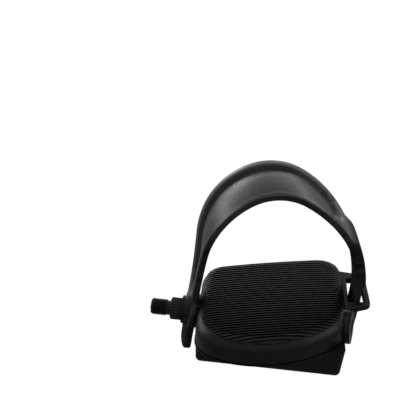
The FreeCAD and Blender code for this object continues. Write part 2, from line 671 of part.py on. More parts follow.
def band(name, low, high, half):
    """Arched band between two offsets of the centre path, in the strap's own frame (path in XZ)."""
    body = new_body(name)
    inner = path_points(low)
    outer = path_points(high)
    radii = ["arch_in", "arch_top", "arch_out"]
    corners = [outer[0]]
    for index in (1, 2, 3):
        corners.append(outer[index] + ("%s + %s" % (radii[index - 1], high), -1))
    corners += [outer[4], outer[5], inner[5]]
    for index in (4, 3, 2):
        corners.append(inner[index] + ("%s + %s" % (radii[index - 2], low), 1))
    corners += [inner[1], inner[0]]
    sketch = body_sketch(body, "XZ_Plane", name + "_path", corners)
    pad = body.newObject("PartDesign::Pad", name + "_pad")
    pad.Profile = sketch
    pad.Midplane = True
    bind(pad, Length="2 * (%s)" % half)
    doc.recompute()
    return body


def flare(name, inset):
    """Side outline of the strap: narrow legs that widen to the top, extruded across the strap."""
    body = new_body(name)
    leg = "(leg_half - %s)" % inset
    top = "(top_half - %s)" % inset
    sweep = "((flare_high - flare_low)^2 + (%s - %s)^2) / (4 * (%s - %s))" % (top, leg, top, leg)
    middle = "(%s + %s) / 2" % (leg, top)
    level = "(flare_low + flare_high) / 2"
    corners = [
        ("-strap_shift - %s" % leg, "-flare_high"),
        ("-strap_shift + %s" % leg, "-flare_high"),
        ("-strap_shift + %s" % leg, "flare_low", sweep, -1),
        ("-strap_shift + %s" % middle, level, sweep, 1),
        ("-strap_shift + %s" % top, "flare_high"),
        ("-strap_shift + %s" % top, "flare_high + 40"),
        ("-strap_shift - %s" % top, "flare_high + 40"),
        ("-strap_shift - %s" % top, "flare_high", sweep, 1),
        ("-strap_shift - %s" % middle, level, sweep, -1),
        ("-strap_shift - %s" % leg, "flare_low"),
    ]
    sketch = body_sketch(body, "YZ_Plane", name + "_outline", corners)
    pad = body.newObject("PartDesign::Pad", name + "_pad")
    pad.Profile = sketch
    pad.Midplane = True
    bind(pad, Length="flare_high * 6")
    doc.recompute()
    return body


strap_band = band("strap_band", "-strap_inside", "strap_outside", "top_half + 8")
strap_flare = flare("strap_flare", "0")
strap_blank = common("strap_blank", [strap_band, strap_flare])
eye_disc = doc.addObject("Part::Cylinder", "eye_disc")
eye_disc.Placement.Rotation = FreeCAD.Rotation(FreeCAD.Vector(0, 1, 0), 90)
bind(eye_disc, Radius="eye_radius", Height="60", Placement__Base__x="-30")
eye = common("eye", [strap_band, eye_disc])

# Sunken panel between the rims; it ends in a point on the outer shoulder and in a wedge above the hub.
panel_band = band("panel_band", "panel_floor", "strap_outside + 3", "top_half")
panel_flare = flare("panel_flare", "strap_rim")
panel_plan = new_body("panel_plan")
plan_sketch = body_sketch(panel_plan, "XY_Plane", "panel_plan_outline", [
    ("-120", "-strap_shift - top_half"),
    ("panel_square", "-strap_shift - top_half", "top_half * 1.6", 1),
    ("panel_tip", "-strap_shift - 1.2", "1.7", 1),
    ("panel_tip", "-strap_shift + 1.2", "top_half * 1.6", 1),
    ("panel_square", "-strap_shift + top_half"),
    ("-120", "-strap_shift + top_half"),
])
plan_pad = panel_plan.newObject("PartDesign::Pad", "plan_pad")
plan_pad.Profile = plan_sketch
plan_pad.Midplane = True
bind(plan_pad, Length="flare_high * 4")
doc.recompute()
panel_wedge = new_body("panel_wedge")
wedge_sketch = body_sketch(panel_wedge, "YZ_Plane", "panel_wedge_outline", [
    ("-strap_shift", "panel_foot"),
    ("-strap_shift + top_half", "panel_foot + top_half * 1.8"),
    ("-strap_shift + top_half", "flare_high * 2"),
    ("-strap_shift - top_half", "flare_high * 2"),
    ("-strap_shift - top_half", "panel_foot + top_half * 1.8"),
])
wedge_pad = panel_wedge.newObject("PartDesign::Pad", "wedge_pad")
wedge_pad.Profile = wedge_sketch
wedge_pad.Midplane = True
bind(wedge_pad, Length="flare_high * 6")
doc.recompute()
panel = common("panel", [panel_band, panel_flare, panel_plan, panel_wedge])
slots = []
for index in range(5):
    slots.append(box("slot_%d" % index, "%s + arch_out * 0.5" % three_x, "-strap_shift - slot_wide / 2",
                     "slot_level + (%d - 2) * slot_pitch - slot_high / 2" % index,
                     "arch_out", "slot_wide", "slot_high"))
# Thicker pad on the outer leg, from the panel's point to just above the loop.
pad_band = band("pad_band", "strap_outside - 0.5", "strap_outside + pad_rise", "top_half")
pad_room = box("pad_room", "%s + arch_out * 0.5" % three_x, "-strap_shift - top_half", "pad_low", "arch_out",
               "top_half * 2", "pad_high - pad_low")
strap_pad = common("strap_pad", [pad_band, strap_flare, pad_room])
strap_tools = fuse("strap_tools", [panel] + slots)
strap_body = cut("strap_body", fuse("strap_full", [strap_blank, eye, strap_pad]), strap_tools)
frame(strap_body, "strap_x", "0", "0", "strap_yaw", "-strap_tilt")
eye_hole = cylinder("eye_hole", "-20", "80", "neck_radius + strap_slack")
lip_room = cylinder("lip_room", "-20", "20 + lip_start + lip_len + strap_slack", "lip_radius + strap_slack")
boss_room = cylinder("boss_room", "boss_start - strap_slack", "30", "boss_radius + strap_slack")
strap = cut("strap", strap_body, fuse("hub_room", [eye_hole, lip_room, boss_room]))

doc.recompute()

NODES = [pedal_body, weight_housing, counterweight, housing_screws, counterweight_screws, spindle, inner_cup,
         inner_balls, outer_cup, outer_balls, outer_cone, tab_washer, lock_nut, inner_seal, dust_cap, strap]

for thing in doc.Objects:
    if "Invalid" in thing.State or "Error" in thing.State:
        raise RuntimeError("not valid: %s %s %s" % (thing.Name, thing.State, thing.getStatusString()))
os.makedirs("parts", exist_ok=True)
for node in NODES:
    node.Label = node.Name
    if node.Shape.isNull() or not node.Shape.isValid():
        raise RuntimeError("bad shape: %s" % node.Name)
    node.Shape.exportStep("parts/%s.step" % node.Name)
    box_of = node.Shape.BoundBox
    print("%-22s solids %3d volume %9.0f  x %.1f..%.1f y %.1f..%.1f z %.1f..%.1f" % (
        node.Name, len(node.Shape.Solids), node.Shape.Volume, box_of.XMin, box_of.XMax,
        box_of.YMin, box_of.YMax, box_of.ZMin, box_of.ZMax))
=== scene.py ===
"""Exercise bike pedal in black: moulded foot plate, rubber foot strap, blackened spindle, plated screws."""

import math
from collections import namedtuple

import bmesh
import bpy
from mathutils import Matrix, Vector


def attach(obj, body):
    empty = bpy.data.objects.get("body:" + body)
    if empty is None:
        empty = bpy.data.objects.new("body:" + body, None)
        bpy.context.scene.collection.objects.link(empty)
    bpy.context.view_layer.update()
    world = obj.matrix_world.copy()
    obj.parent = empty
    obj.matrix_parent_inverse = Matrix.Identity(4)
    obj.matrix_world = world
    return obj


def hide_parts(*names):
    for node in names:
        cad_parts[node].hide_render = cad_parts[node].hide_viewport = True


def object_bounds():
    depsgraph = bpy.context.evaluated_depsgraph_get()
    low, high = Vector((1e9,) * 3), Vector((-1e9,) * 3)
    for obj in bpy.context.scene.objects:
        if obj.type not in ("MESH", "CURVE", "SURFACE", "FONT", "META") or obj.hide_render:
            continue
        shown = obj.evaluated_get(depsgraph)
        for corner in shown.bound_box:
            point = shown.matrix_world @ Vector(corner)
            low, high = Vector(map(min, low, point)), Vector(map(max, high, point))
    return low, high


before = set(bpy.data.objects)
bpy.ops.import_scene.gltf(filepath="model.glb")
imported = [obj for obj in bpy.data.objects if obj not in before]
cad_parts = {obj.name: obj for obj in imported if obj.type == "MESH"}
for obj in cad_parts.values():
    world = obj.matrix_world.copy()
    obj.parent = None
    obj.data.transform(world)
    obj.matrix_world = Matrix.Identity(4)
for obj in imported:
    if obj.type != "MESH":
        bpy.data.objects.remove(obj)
cad_low, cad_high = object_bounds()

MM = 0.001
TURN = 2 * math.pi

# Sizes in millimetres and degrees, in the row frame unless a heading says otherwise.
MERGE_DISTANCE = 0.0005
SHARP_EDGE = 35.0

# spindle
THREAD_END = -15.2
THREAD_START = -3.0
THREAD_RADIUS = 6.35
THREAD_PITCH = 1.27
THREAD_DEPTH = 0.7
THREAD_FIRST = 1.1
THREAD_SPARE = 1.5
THREAD_CHAMFER_RUN = 0.6
THREAD_CHAMFER_DROP = 0.5
RIDGE_HALF = 0.48 * THREAD_PITCH
RIDGE_CREST = 0.18 * RIDGE_HALF
RIDGE_SINK = 0.05
END_GROOVE_INNER = 2.2
END_GROOVE_OUTER = 3.5
END_GROOVE_SIDE = 0.4
END_GROOVE_DEPTH = 0.7
RELIEF_RADIUS = 5.5
RELIEF_RUN = 0.5
COLLAR_LENGTH = 8.2
COLLAR_RADIUS = 8.5
COLLAR_CHAMFER = 0.6
FLUTES = 24
FLUTE_DEPTH = 0.42
FLUTE_BRINK = 0.35
FLUTE_EASE = 0.9
JOURNAL_RADIUS = 7.0
JOURNAL_EASE = 0.2
JOURNAL_END = 14.2
SHOULDER_RUN = 1.0
SHAFT_RADIUS = 5.3
SHAFT_END = 117.2
TAIL_RADIUS = 4.0
TAIL_END = 133.5
TAIL_CHAMFER = 0.8
NECK_SEGMENTS = 64
SHAFT_SEGMENTS = 48
THREAD_SEGMENTS = 40
FLUTE_SEGMENTS = 8
SPINDLE_SHARP = 28.0

# strap path, in the strap's own leaning frame
STRAP_X = 14.5
STRAP_YAW = 16.0
STRAP_TILT = 8.8
STRAP_SHIFT = 2.2
STRAP_SHIFT_RUN = 40.0
STRAP_LEAN = 9.6
INNER_TAIL = 27.5
INNER_LEG = 57.8
ARCHES = ((61.8, 56.9), (43.3, 57.9), (92.6, 69.6))
OUTER_LEG = 24.5

# strap outline
LEG_HALF = 12.0
TOP_HALF = 30.8
FLARE_LOW = 17.6
FLARE_HIGH = 98.9
TAIL_ROUND = 5.0
EYE_RADIUS = 16.4
EYE_SQUARE = 8.0
HUB_HOLE = 10.25
HUB_HOLE_MARGIN = 2.0
SLOT_LEVELS = (-18.4, -5.4, 7.6, 20.6, 33.6)
SLOT_HIGH = 4.0
SLOT_WIDE = 8.5

# strap section, over its path
STRAP_INSIDE = -3.3
STRAP_OUTSIDE = 2.6
UPPER_ROUND = (0.7, 1.4)
LOWER_ROUND = (1.3, 2.2)
LEG_RIM = 5.0
TOP_RIM = 7.2
RIM_SLOPE = 0.08
PANEL_FLOOR = -1.4
PANEL_SQUARE = 88.0
PANEL_TIP = 113.0
PANEL_FOOT = 16.0
PANEL_TAPER = 34.0
PANEL_WALL = 0.8
PANEL_CROWN = 1.6
PANEL_CROWN_HALF = 20.0
PANEL_LEAST = 0.01
TIP_SINK = 0.8
LEDGE_WIDE = 1.3
LEDGE_SHARE = 0.5
OFF_PANEL = -2 * LEDGE_WIDE
PAD_RISE = 2.8
PAD_LOW = 17.0
PAD_LOW_BLEND = 3.0
PAD_HIGH = 59.0
PAD_HIGH_BLEND = 9.0
STRAP_SHARP = 40.0

# strap finish: the width of the crest's painted highlight, and for each leg the height where shine starts and
# its blend; below it the cut shine is painted shade
CREST_WIDE = 0.9
DULL_INNER = (-14.0, 20.0)
DULL_OUTER = (52.0, 14.0)

# strap sheet: rows along it, and columns in from its edge, on to the guide line and about the guide line
STRAP_ROWS = 400
EDGE_STEPS = (0.0, 0.25, 0.7, 1.4, 2.2)
FILL_SHARES = (0.33, 0.67)
GUIDE_STEPS = (2.7, 2.2, 1.85, 1.5, 1.15, 0.8, 0.45, 0.15, -0.15, -0.45, -0.8)
MIDDLE_COLUMNS = 22
TIP_GUIDE = 13.0
TIP_GUIDE_START = 0.9
TIP_GUIDE_FADE = 0.5
SHEET_THICKNESS = 0.1

# screws
HOUSING_SPOTS = ((33, 20), (33, -20), (118, 20), (118, -20))
WEIGHT_SPOTS = ((60.3, -3), (90.3, -3))
SCREW_RADIUS = 2.0
SCREW_TAPER = 0.8
HEAD_RADIUS = 3.7
HOUSING_HEAD = (-28.4, -26.0)
WEIGHT_HEAD = (-28.4, -27.2)
HOUSING_TIP = 8.0
WEIGHT_TIP = -17.5
RECESS_ARM = 0.52 * HEAD_RADIUS
RECESS_HALF = 0.13 * HEAD_RADIUS
RECESS_DEPTH = 0.7
RECESS_TAPER = 0.7
HEAD_SEGMENTS = 48
SHANK_SEGMENTS = 24

# Steps down a screw's head, as a share of its height and a scale: side, two for the dome, brim of the recess.
HEAD_STEPS = ((0.5, 1.0), (0.3, 0.93), (0.2, 0.72), (0.0, 0.9))

# dust cap
CAP_RADIUS = 10.8
CAP_FACE = 138.6
CAP_BACK = 133.6
CAP_WALL = 1.2
CAP_THICK = 2.0
CAP_ROUND = 0.6
CAP_ROUND_MIDDLE = 0.25 * CAP_ROUND
CAP_CHAMFER = 0.4
DISH_RADIUS = 6.2
DISH_DEPTH = 0.9
DISH_SIDE = ((0.0, 0.0), (0.4, 0.2), (0.8, 0.7), (1.2, 0.9))
CAP_SEGMENTS = 72


def smooth_step(value):
    """0 below zero, 1 above one, eased between."""
    value = min(max(value, 0.0), 1.0)
    return value * value * (3 - 2 * value)


def border_step(distance, width):
    """0 before a border, 1 past it, eased over a width with the border in its middle."""
    return smooth_step(distance / width + 0.5)


def finish_piece(name, bm, body, node, material, sharp=SHARP_EDGE):
    """Turns a bmesh in millimetres into a piece that stands for a CAD node and rides on its body."""
    bmesh.ops.remove_doubles(bm, verts=bm.verts[:], dist=MERGE_DISTANCE)
    bmesh.ops.recalc_face_normals(bm, faces=bm.faces[:])
    bmesh.ops.scale(bm, vec=(MM, MM, MM), verts=bm.verts[:])
    mesh = bpy.data.meshes.new(name)
    bm.to_mesh(mesh)
    bm.free()
    mesh.shade_smooth()
    mesh.set_sharp_from_angle(angle=math.radians(sharp))
    mesh.materials.append(material)
    piece = bpy.data.objects.new(name, mesh)
    bpy.context.scene.collection.objects.link(piece)
    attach(piece, body)
    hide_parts(node)


def turn_profile(bm, profile, segments):
    """Spins an (x, radius) profile about the X axis."""
    corners = [bm.verts.new((x, 0, radius)) for x, radius in profile]
    edges = [bm.edges.new(pair) for pair in zip(corners, corners[1:])]
    bmesh.ops.spin(
        bm, geom=corners + edges, cent=(0, 0, 0), axis=(1, 0, 0), angle=TURN, steps=segments, use_merge=True)


def extend_face(bm, face, move, scale):
    """Extrudes a face, which stays, moves and scales its new end, and gives that end's face and vertices."""
    made = bmesh.ops.extrude_face_region(bm, geom=[face], use_keep_orig=True)["geom"]
    verts = [item for item in made if isinstance(item, bmesh.types.BMVert)]
    bmesh.ops.translate(bm, vec=move, verts=verts)
    bmesh.ops.scale(bm, vec=scale, verts=verts)
    end = next(item for item in made if isinstance(item, bmesh.types.BMFace))
    return end, verts


def add_node(tree, kind, spot, **values):
    """A shader node at a spot, with its properties and input values set."""
    made = tree.nodes.new(kind)
    made.location = spot
    for name, value in values.items():
        if name in made.bl_rna.properties:
            setattr(made, name, value)
        else:
            made.inputs[name.replace("_", " ")].default_value = value
    return made


def wire(tree, *links):
    """Links nodes, each link given as a node, its output, the next node and its input."""
    for source, output, target, entry in links:
        tree.links.new(source.outputs[output], target.inputs[entry])


def make_group(name, inputs, outputs):
    """Empty shader node group with its sockets and its two end nodes."""
    tree = bpy.data.node_groups.new(name, "ShaderNodeTree")
    for label, value in inputs.items():
        socket = tree.interface.new_socket(name=label, in_out="INPUT", socket_type="NodeSocketFloat")
        socket.default_value = value
    for label in outputs:
        tree.interface.new_socket(name=label, in_out="OUTPUT", socket_type="NodeSocketFloat")
    start = add_node(tree, "NodeGroupInput", (-900, 0))
    end = add_node(tree, "NodeGroupOutput", (500, 0))
    return tree, start, end


def grain_group():
    """Fine spark-eroded grain with slow patches, as a height and a patch mask."""
    scales = {"Grain Scale": 2600.0, "Patch Scale": 55.0}
    tree, start, end = make_group("mould_grain", scales, ("Height", "Patch"))
    place = add_node(tree, "ShaderNodeTexCoord", (-900, 250))
    fine = add_node(tree, "ShaderNodeTexNoise", (-600, 250), Detail=4.0, Roughness=0.62)
    cells = add_node(tree, "ShaderNodeTexVoronoi", (-600, 0), feature="SMOOTH_F1", Smoothness=0.7)
    both = add_node(tree, "ShaderNodeMath", (-300, 150), operation="ADD")
    slow = add_node(tree, "ShaderNodeTexNoise", (-600, -250), Detail=5.0, Roughness=0.55, Distortion=0.4)
    contrast = add_node(tree, "ShaderNodeMapRange", (-300, -250), From_Min=0.35, From_Max=0.68)
    wire(
        tree,
        (place, "Object", fine, "Vector"),
        (place, "Object", cells, "Vector"),
        (place, "Object", slow, "Vector"),
        (start, "Grain Scale", fine, "Scale"),
        (start, "Grain Scale", cells, "Scale"),
        (start, "Patch Scale", slow, "Scale"),
        (fine, "Fac", both, 0),
        (cells, "Distance", both, 1),
        (slow, "Fac", contrast, "Value"),
        (both, "Value", end, "Height"),
        (contrast, "Result", end, "Patch"),
    )
    return tree


def line_group(name, scale, coordinates, stretch, texture, thin):
    """Stretched noise as thin lines, put out as a mask."""
    tree, start, end = make_group(name, {"Line Scale": scale, "Amount": 0.5}, ("Mask",))
    place = add_node(tree, "ShaderNodeTexCoord", (-900, 200))
    longer = add_node(tree, "ShaderNodeMapping", (-700, 200), **stretch)
    lines = add_node(tree, "ShaderNodeTexNoise", (-450, 200), **texture)
    contrast = add_node(tree, "ShaderNodeMapRange", (-200, 200), **thin)
    amount = add_node(tree, "ShaderNodeMath", (100, 100), operation="MULTIPLY")
    wire(
        tree,
        (place, coordinates, longer, "Vector"),
        (longer, "Vector", lines, "Vector"),
        (start, "Line Scale", lines, "Scale"),
        (lines, "Fac", contrast, "Value"),
        (contrast, "Result", amount, 0),
        (start, "Amount", amount, 1),
        (amount, "Value", end, "Mask"),
    )
    return tree


def scuff_group():
    """Sparse thin scratches, stretched one way."""
    return line_group(
        "light_scuffs", 160.0, "Object",
        stretch={"Scale": (0.12, 1.0, 1.0), "Rotation": (0.3, 0.2, 0.5)},
        texture={"Detail": 6.0, "Roughness": 0.7},
        thin={"From_Min": 0.62, "From_Max": 0.74},
    )


def draw_group():
    """Faint lines along a moulded sheet, laid out by its UV map in metres."""
    return line_group(
        "draw_lines", 900.0, "UV",
        stretch={"Scale": (0.016, 1.0, 1.0)},
        texture={"Detail": 3.0, "Roughness": 0.6},
        thin={"From_Min": 0.4, "From_Max": 0.7},
    )


GRAIN = grain_group()
SCUFFS = scuff_group()
DRAW_LINES = draw_group()

# Scuffs, draw lines and the crest's painted highlight take the light tone times a gain plus a lift, and
# patches shift the roughness down and up.
WEAR_AND_HIGHLIGHT_GAIN = 18.0
WEAR_AND_HIGHLIGHT_LIFT = 0.004
PATCH_SMOOTHER = 0.05
PATCH_ROUGHER = 0.06
GRAIN_HEIGHT = 0.2 * MM

# Painted shade: grooves narrower than about this reach lose colour and shine, where less than the open share
# of the sky is seen.
CREASE_SAMPLES = 16
CREASE_REACH = 2.5 * MM
CREASE_SHUT = 0.45
CREASE_OPEN = 0.9

# Roughness of a matte surface, and the share of its shine that is left, the cut shine being painted shade.
DULL_ROUGHNESS = 0.85
SHADED_SHINE = 0.2


def larger_mask(tree, spot, first, second):
    """The larger of two masks."""
    larger = add_node(tree, "ShaderNodeMath", spot, operation="MAXIMUM")
    tree.links.new(first, larger.inputs[0])
    tree.links.new(second, larger.inputs[1])
    return larger.outputs["Value"]


def paint_groove_shade(tree, surface, colour, specular, depth):
    """Paints shade into narrow grooves, taking colour and shine out of them, and gives the new colour."""
    around = add_node(
        tree, "ShaderNodeAmbientOcclusion", (-600, 550), samples=CREASE_SAMPLES, only_local=True,
        Distance=CREASE_REACH)
    opened = add_node(
        tree, "ShaderNodeMapRange", (-350, 550), From_Min=CREASE_SHUT, From_Max=CREASE_OPEN, To_Min=1 - depth)
    shade = add_node(
        tree, "ShaderNodeMix", (150, 300), data_type="RGBA", blend_type="MULTIPLY", Factor=1.0)
    shine = add_node(tree, "ShaderNodeMath", (150, 550), operation="MULTIPLY")
    shine.inputs[1].default_value = specular
    tree.links.new(colour, shade.inputs["A"])
    wire(
        tree,
        (around, "AO", opened, "Value"),
        (opened, "Result", shade, "B"),
        (opened, "Result", shine, 0),
        (shine, "Value", surface, "Specular IOR Level"),
    )
    return shade.outputs["Result"]


def dull_and_shade_surface(tree, surface, roughness, specular, mask_name):
    """Takes the gloss away where a vertex mask says so, the cut shine being painted shade, and gives the new
    roughness.
    """
    mask = add_node(tree, "ShaderNodeAttribute", (-350, -500), attribute_name=mask_name)
    matte = add_node(tree, "ShaderNodeMix", (150, -50), B=DULL_ROUGHNESS)
    shine = add_node(
        tree, "ShaderNodeMapRange", (150, 550), To_Min=specular, To_Max=specular * SHADED_SHINE)
    tree.links.new(roughness, matte.inputs["A"])
    wire(
        tree,
        (mask, "Fac", matte, "Factor"),
        (mask, "Fac", shine, "Value"),
        (shine, "Result", surface, "Specular IOR Level"),
    )
    return matte.outputs["Result"]


def finish_material(name, dark, light, rough, grain, patch, bump, scuff=0.0, metal=0.0, specular=0.5,
                    painted_groove_shade=0.0, drawn=0.0, dull_and_shaded="", crest_highlight=""):
    """Principled surface whose colour, gloss and bump come from the shared groups.

    Groove shade darkens narrow grooves with painted shade, and drawn adds lines along its UV map. Of two
    vertex masks, one takes the gloss away and cuts the shine as painted shade, the other lightens the colour
    as a painted highlight.
    """
    material = bpy.data.materials.new(name)
    material.use_nodes = True
    tree = material.node_tree
    tree.nodes.clear()
    out = add_node(tree, "ShaderNodeOutputMaterial", (900, 0))
    surface = add_node(
        tree, "ShaderNodeBsdfPrincipled", (600, 0), Metallic=metal, Specular_IOR_Level=specular)
    texture = add_node(
        tree, "ShaderNodeGroup", (-700, 100), node_tree=GRAIN, Grain_Scale=grain, Patch_Scale=patch)
    marks = add_node(tree, "ShaderNodeGroup", (-700, -200), node_tree=SCUFFS, Amount=scuff)
    wear_and_highlight = marks.outputs["Mask"]
    if drawn:
        lines = add_node(tree, "ShaderNodeGroup", (-700, -400), node_tree=DRAW_LINES, Amount=drawn)
        wear_and_highlight = larger_mask(tree, (-500, -300), wear_and_highlight, lines.outputs["Mask"])
    # Painted highlight: a vertex mask lightens the colour along the strap's crest.
    if crest_highlight:
        crest = add_node(tree, "ShaderNodeAttribute", (-700, -600), attribute_name=crest_highlight)
        wear_and_highlight = larger_mask(tree, (-500, -500), wear_and_highlight, crest.outputs["Fac"])

    worn_and_highlight_tone = [min(1.0, part * WEAR_AND_HIGHLIGHT_GAIN + WEAR_AND_HIGHLIGHT_LIFT) for part in light]
    tone = add_node(tree, "ShaderNodeMix", (-350, 250), data_type="RGBA", A=(*dark, 1), B=(*light, 1))
    worn_and_highlit = add_node(tree, "ShaderNodeMix", (-100, 250), data_type="RGBA", B=(*worn_and_highlight_tone, 1))
    gloss = add_node(
        tree, "ShaderNodeMapRange", (-100, 0), To_Min=rough - PATCH_SMOOTHER, To_Max=rough + PATCH_ROUGHER)
    height = add_node(tree, "ShaderNodeBump", (350, -250), Strength=bump, Distance=GRAIN_HEIGHT)
    tree.links.new(wear_and_highlight, worn_and_highlit.inputs["Factor"])
    wire(
        tree,
        (texture, "Patch", tone, "Factor"),
        (tone, "Result", worn_and_highlit, "A"),
        (texture, "Patch", gloss, "Value"),
        (texture, "Height", height, "Height"),
        (height, "Normal", surface, "Normal"),
        (surface, "BSDF", out, "Surface"),
    )

    colour = worn_and_highlit.outputs["Result"]
    roughness = gloss.outputs["Result"]
    # Painted shade in narrow grooves, from an ambient occlusion node.
    if painted_groove_shade:
        colour = paint_groove_shade(tree, surface, colour, specular, painted_groove_shade)
    # Matte legs: rougher, with their shine cut as painted shade.
    if dull_and_shaded:
        roughness = dull_and_shade_surface(tree, surface, roughness, specular, dull_and_shaded)
    tree.links.new(colour, surface.inputs["Base Color"])
    tree.links.new(roughness, surface.inputs["Roughness"])
    return material


# The moulding takes painted shade in its grooves.
MOULDING = finish_material(
    "black_moulding", dark=(0.0013, 0.0013, 0.0014), light=(0.0023, 0.0023, 0.0025), rough=0.4,
    grain=2600, patch=60, bump=0.08, scuff=0.02, specular=0.15, painted_groove_shade=0.94,
)
# The strap takes painted shade on its legs and a painted highlight along its crest.
STRAP_RUBBER = finish_material(
    "strap_rubber", dark=(0.0034, 0.0032, 0.0037), light=(0.0054, 0.005, 0.0058), rough=0.3,
    grain=3400, patch=42, bump=0.1, specular=0.19, drawn=0.14, dull_and_shaded="dull_and_shaded", crest_highlight="crest_highlight",
)
SEAL_RUBBER = finish_material(
    "seal_rubber", dark=(0.006, 0.006, 0.006), light=(0.01, 0.01, 0.01), rough=0.7,
    grain=3000, patch=80, bump=0.3, specular=0.1,
)
BLACK_STEEL = finish_material(
    "blackened_steel", dark=(0.006, 0.006, 0.0064), light=(0.012, 0.012, 0.0128), rough=0.4,
    grain=2200, patch=90, bump=0.14, scuff=0.1, metal=0.4, specular=0.12,
)
PLATED_STEEL = finish_material(
    "plated_steel", dark=(0.42, 0.42, 0.43), light=(0.58, 0.58, 0.58), rough=0.3,
    grain=1800, patch=120, bump=0.08, scuff=0.2, metal=1.0,
)
BAR_STEEL = finish_material(
    "mill_bar", dark=(0.1, 0.1, 0.105), light=(0.2, 0.195, 0.19), rough=0.52,
    grain=900, patch=45, bump=0.5, scuff=0.2, metal=0.85,
)


def turn_shaft(bm):
    """The spindle's turned body, open inside the collar: grooved thread core, relief neck, then the shaft."""
    root = THREAD_RADIUS - THREAD_DEPTH
    groove_floor = THREAD_END + END_GROOVE_DEPTH
    turn_profile(bm, [
        (THREAD_END, 0.0),
        (THREAD_END, END_GROOVE_INNER),
        (groove_floor, END_GROOVE_INNER + END_GROOVE_SIDE),
        (groove_floor, END_GROOVE_OUTER - END_GROOVE_SIDE),
        (THREAD_END, END_GROOVE_OUTER),
        (THREAD_END, root - THREAD_CHAMFER_DROP),
        (THREAD_END + THREAD_CHAMFER_RUN, root),
        (THREAD_START, root),
        (THREAD_START + RELIEF_RUN, RELIEF_RADIUS),
        (0.0, RELIEF_RADIUS),
    ], NECK_SEGMENTS)
    turn_profile(bm, [
        (COLLAR_LENGTH - JOURNAL_EASE, JOURNAL_RADIUS - JOURNAL_EASE),
        (COLLAR_LENGTH + JOURNAL_EASE, JOURNAL_RADIUS),
        (JOURNAL_END, JOURNAL_RADIUS),
        (JOURNAL_END + SHOULDER_RUN, SHAFT_RADIUS),
        (SHAFT_END, SHAFT_RADIUS),
        (SHAFT_END + SHOULDER_RUN, TAIL_RADIUS),
        (TAIL_END - TAIL_CHAMFER, TAIL_RADIUS),
        (TAIL_END, TAIL_RADIUS - TAIL_CHAMFER),
        (TAIL_END, 0.0),
    ], SHAFT_SEGMENTS)


def wind_thread(bm):
    """The left-hand crank thread: one ridge, wound about the core and closed at both ends."""
    foot = THREAD_RADIUS - THREAD_DEPTH - RIDGE_SINK
    middle = THREAD_END + THREAD_FIRST
    turns = (THREAD_START - THREAD_END - THREAD_SPARE) / THREAD_PITCH
    steps = round(turns * THREAD_SEGMENTS)
    ridge = [bm.verts.new(spot) for spot in (
        (middle - RIDGE_HALF, 0, foot),
        (middle - RIDGE_CREST, 0, THREAD_RADIUS),
        (middle + RIDGE_CREST, 0, THREAD_RADIUS),
        (middle + RIDGE_HALF, 0, foot),
    )]
    flanks = [bm.edges.new(pair) for pair in zip(ridge, ridge[1:] + ridge[:1])]
    bm.faces.new(ridge)
    wound = bmesh.ops.spin(
        bm, geom=ridge + flanks, cent=(0, 0, 0), axis=(-1, 0, 0), angle=TURN * turns, steps=steps,
        dvec=(THREAD_PITCH * turns / steps, 0, 0))
    last = [item for item in wound["geom_last"] if isinstance(item, bmesh.types.BMVert)]
    bm.faces.new(sorted(last, key=lambda vert: vert.co.x))


def flute_collar(bm):
    """The collar: a fluted disc, drawn out along the spindle with a chamfer at each end."""
    disc = bmesh.ops.create_circle(bm, cap_ends=True, segments=FLUTES * FLUTE_SEGMENTS, radius=COLLAR_RADIUS)
    ring = disc["verts"]
    bmesh.ops.rotate(bm, verts=ring, cent=(0, 0, 0), matrix=Matrix.Rotation(math.pi / 2, 3, "Y"))
    for vert in ring:
        angle = math.atan2(vert.co.z, vert.co.y) * FLUTES
        valley = smooth_step((FLUTE_BRINK - math.cos(angle)) / FLUTE_EASE)
        vert.co *= 1 - FLUTE_DEPTH / COLLAR_RADIUS * valley
    slim = 1 - COLLAR_CHAMFER / COLLAR_RADIUS
    straight = COLLAR_LENGTH - 2 * COLLAR_CHAMFER
    bmesh.ops.scale(bm, vec=(1, slim, slim), verts=ring)
    face = ring[0].link_faces[0]
    for reach, growth in ((COLLAR_CHAMFER, 1 / slim), (straight, 1.0), (COLLAR_CHAMFER, slim)):
        face, _ = extend_face(bm, face, (reach, 0, 0), (1, growth, growth))


def make_spindle():
    """Spindle with a left-hand crank thread and a fluted collar."""
    bm = bmesh.new()
    turn_shaft(bm)
    wind_thread(bm)
    flute_collar(bm)
    finish_piece("spindle_turned", bm, "spindle", "spindle", BLACK_STEEL, SPINDLE_SHARP)


# The strap's path from its inner end, as runs with a length and a radius, which is None on a straight run.
STRAP_RUNS = (
    (INNER_TAIL + INNER_LEG, None),
    *((radius * math.radians(turn), radius) for radius, turn in ARCHES),
    (OUTER_LEG, None),
)
STRAP_LENGTH = sum(length for length, _ in STRAP_RUNS)

Station = namedtuple("Station", "point lean distance outer")


def walk_strap(distance):
    """Point and lean of the strap's centre path at a distance from its inner end, in the strap's plane."""
    lean = math.radians(STRAP_LEAN)
    point = Vector((-INNER_TAIL * math.sin(lean), -INNER_TAIL * math.cos(lean)))
    for length, radius in STRAP_RUNS:
        step = min(distance, length)
        if radius is None:
            point = point + Vector((math.sin(lean), math.cos(lean))) * step
        else:
            centre = point - Vector((-math.cos(lean), math.sin(lean))) * radius
            lean += step / radius
            point = centre + Vector((-math.cos(lean), math.sin(lean))) * radius
        distance -= step
        if distance <= 0:
            break
    return point, lean


def strap_stations():
    """Places along the strap's path, one for each row of its sheet."""
    stations = []
    for row in range(STRAP_ROWS + 1):
        distance = STRAP_LENGTH * row / STRAP_ROWS
        point, lean = walk_strap(distance)
        stations.append(Station(point, lean, distance, distance > STRAP_LENGTH / 2))
    return stations


